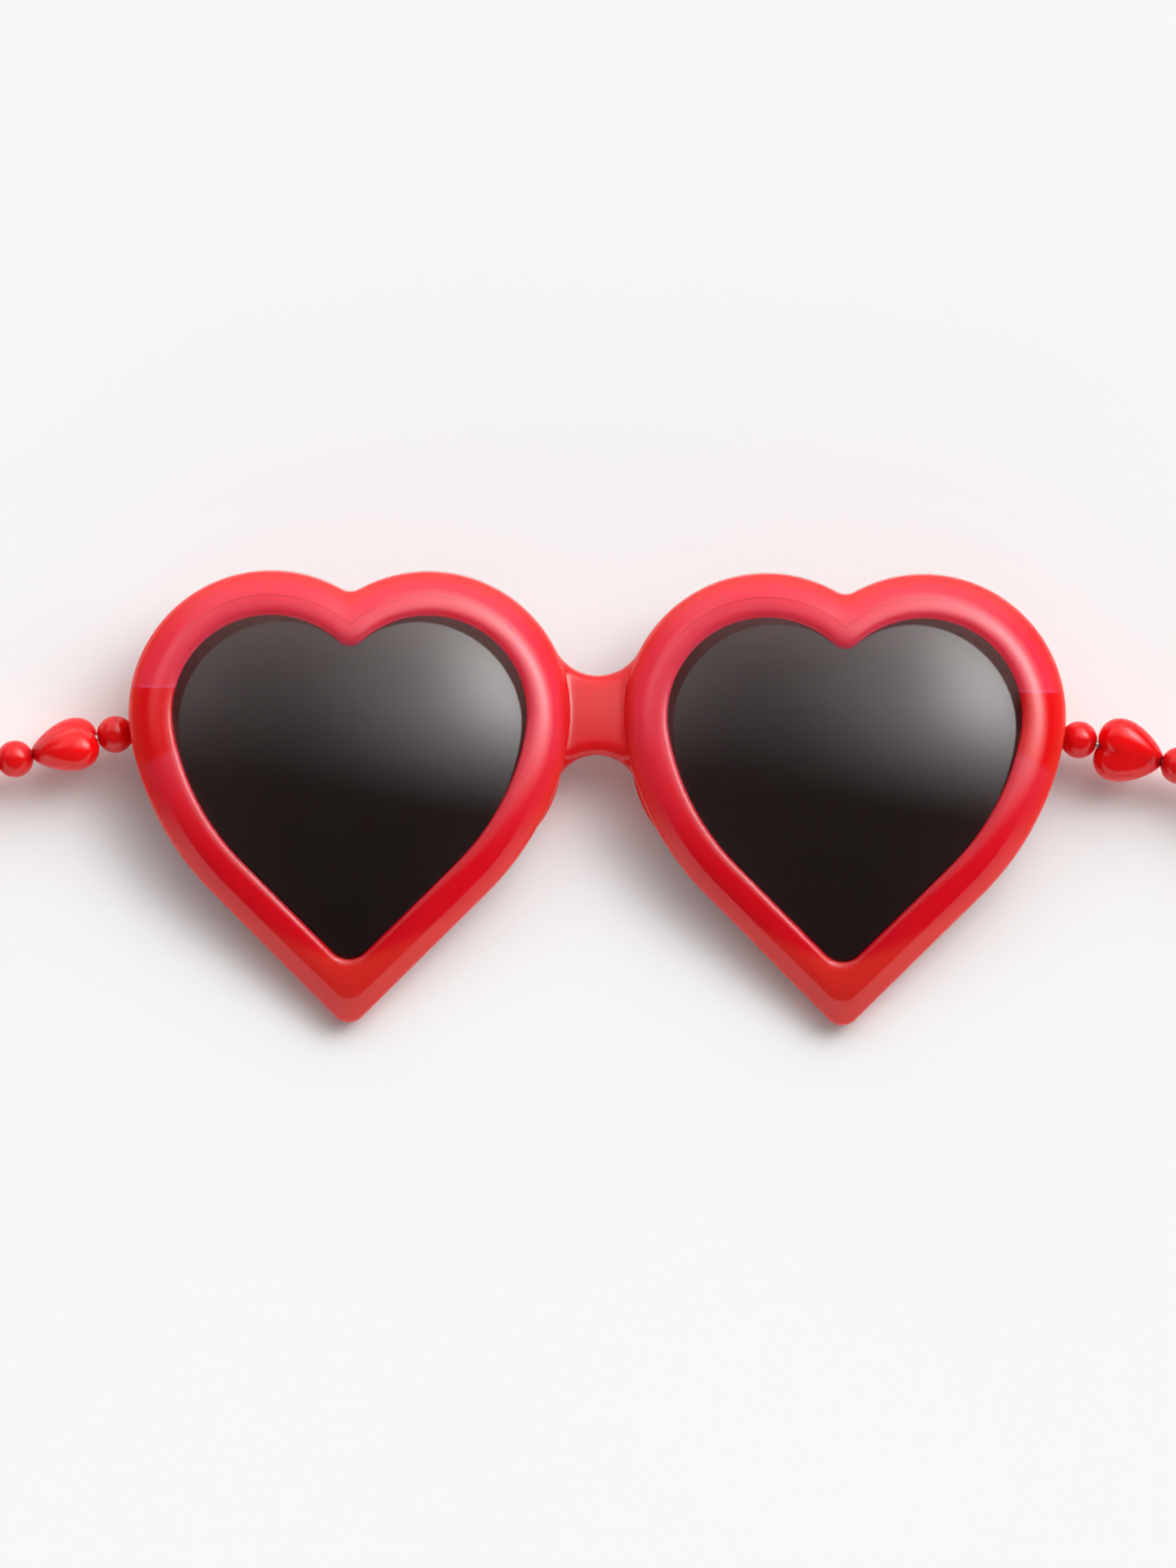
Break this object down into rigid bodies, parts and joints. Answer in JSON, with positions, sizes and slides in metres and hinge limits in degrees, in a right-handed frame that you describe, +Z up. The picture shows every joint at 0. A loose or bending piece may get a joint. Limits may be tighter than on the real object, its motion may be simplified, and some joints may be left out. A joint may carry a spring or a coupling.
{
  "type": "heart-shaped sunglasses",
  "caption": "Heart-shaped sunglasses with thick glossy red rims, dark tinted lenses and beaded wire arms that fold on slotted hinge screws.",
  "frame": {"origin": "on the table under the middle of the whole part as it lies face up with its arms out", "axes": "+X to the right of the picture along the spread arms, +Y towards the lobes of the hearts, +Z up from the table"},
  "size_m": [0.3964, 0.08, 0.0177],
  "materials": {
    "frame_red": "translucent gloss",
    "lens_tint": "tinted gloss",
    "bead_red": "translucent gloss",
    "cap_red": "gloss",
    "steel": "drawn and turned"
  },
  "bodies": {
    "front": {"front_frame": "frame_red", "right_lens": "lens_tint", "right_hinge_block": "frame_red", "right_hinge_screw": "steel", "left_lens": "lens_tint", "left_hinge_block": "frame_red", "left_hinge_screw": "steel"},
    "right_arm": {"right_hinge_barrel": "steel", "right_temple_wire": "steel", "right_round_bead_01": "bead_red", "right_round_bead_02": "bead_red", "right_round_bead_03": "bead_red", "right_round_bead_04": "bead_red", "right_round_bead_05": "bead_red", "right_round_bead_06": "bead_red", "right_round_bead_07": "bead_red", "right_round_bead_08": "bead_red", "right_round_bead_09": "bead_red", "right_round_bead_10": "bead_red", "right_round_bead_11": "bead_red", "right_round_bead_12": "bead_red", "right_round_bead_13": "bead_red", "right_round_bead_14": "bead_red", "right_end_cap": "cap_red"},
    "right_heart_1": {"right_heart_bead_1": "bead_red"},
    "right_heart_2": {"right_heart_bead_2": "bead_red"},
    "right_heart_3": {"right_heart_bead_3": "bead_red"},
    "right_heart_4": {"right_heart_bead_4": "bead_red"},
    "left_arm": {"left_hinge_barrel": "steel", "left_temple_wire": "steel", "left_round_bead_01": "bead_red", "left_round_bead_02": "bead_red", "left_round_bead_03": "bead_red", "left_round_bead_04": "bead_red", "left_round_bead_05": "bead_red", "left_round_bead_06": "bead_red", "left_round_bead_07": "bead_red", "left_round_bead_08": "bead_red", "left_round_bead_09": "bead_red", "left_round_bead_10": "bead_red", "left_round_bead_11": "bead_red", "left_round_bead_12": "bead_red", "left_round_bead_13": "bead_red", "left_round_bead_14": "bead_red", "left_end_cap": "cap_red"},
    "left_heart_1": {"left_heart_bead_1": "bead_red"},
    "left_heart_2": {"left_heart_bead_2": "bead_red"},
    "left_heart_3": {"left_heart_bead_3": "bead_red"},
    "left_heart_4": {"left_heart_bead_4": "bead_red"}
  },
  "joints": [
    {"name": "right_arm_fold", "type": "hinge", "parent": "front", "child": "right_arm", "pos_m": [0.07063, 0.01494, 0.00655], "axis": [0, 0.9839, 0.1788], "range_deg": [-3, 150]},
    {"name": "right_heart_1_spin", "type": "hinge", "parent": "right_arm", "child": "right_heart_1", "pos_m": [0.08546, 0.01188, 0.00661], "axis": [0.9695, -0.245, -0.0048], "continuous": true},
    {"name": "right_heart_2_spin", "type": "hinge", "parent": "right_arm", "child": "right_heart_2", "pos_m": [0.10744, 0.00632, 0.0065], "axis": [0.9695, -0.245, -0.0048], "continuous": true},
    {"name": "right_heart_3_spin", "type": "hinge", "parent": "right_arm", "child": "right_heart_3", "pos_m": [0.12942, 0.00077, 0.00639], "axis": [0.9695, -0.245, -0.0048], "continuous": true},
    {"name": "right_heart_4_spin", "type": "hinge", "parent": "right_arm", "child": "right_heart_4", "pos_m": [0.1514, -0.00478, 0.00628], "axis": [0.9695, -0.245, -0.0048], "continuous": true},
    {"name": "left_arm_fold", "type": "hinge", "parent": "front", "child": "left_arm", "pos_m": [-0.07063, 0.01494, 0.00655], "axis": [0, -0.9839, -0.1788], "range_deg": [-3, 163]},
    {"name": "left_heart_1_spin", "type": "hinge", "parent": "left_arm", "child": "left_heart_1", "pos_m": [-0.08546, 0.01188, 0.00661], "axis": [-0.9695, -0.245, -0.0048], "continuous": true},
    {"name": "left_heart_2_spin", "type": "hinge", "parent": "left_arm", "child": "left_heart_2", "pos_m": [-0.10744, 0.00632, 0.0065], "axis": [-0.9695, -0.245, -0.0048], "continuous": true},
    {"name": "left_heart_3_spin", "type": "hinge", "parent": "left_arm", "child": "left_heart_3", "pos_m": [-0.12942, 0.00077, 0.00639], "axis": [-0.9695, -0.245, -0.0048], "continuous": true},
    {"name": "left_heart_4_spin", "type": "hinge", "parent": "left_arm", "child": "left_heart_4", "pos_m": [-0.1514, -0.00478, 0.00628], "axis": [-0.9695, -0.245, -0.0048], "continuous": true}
  ]
}
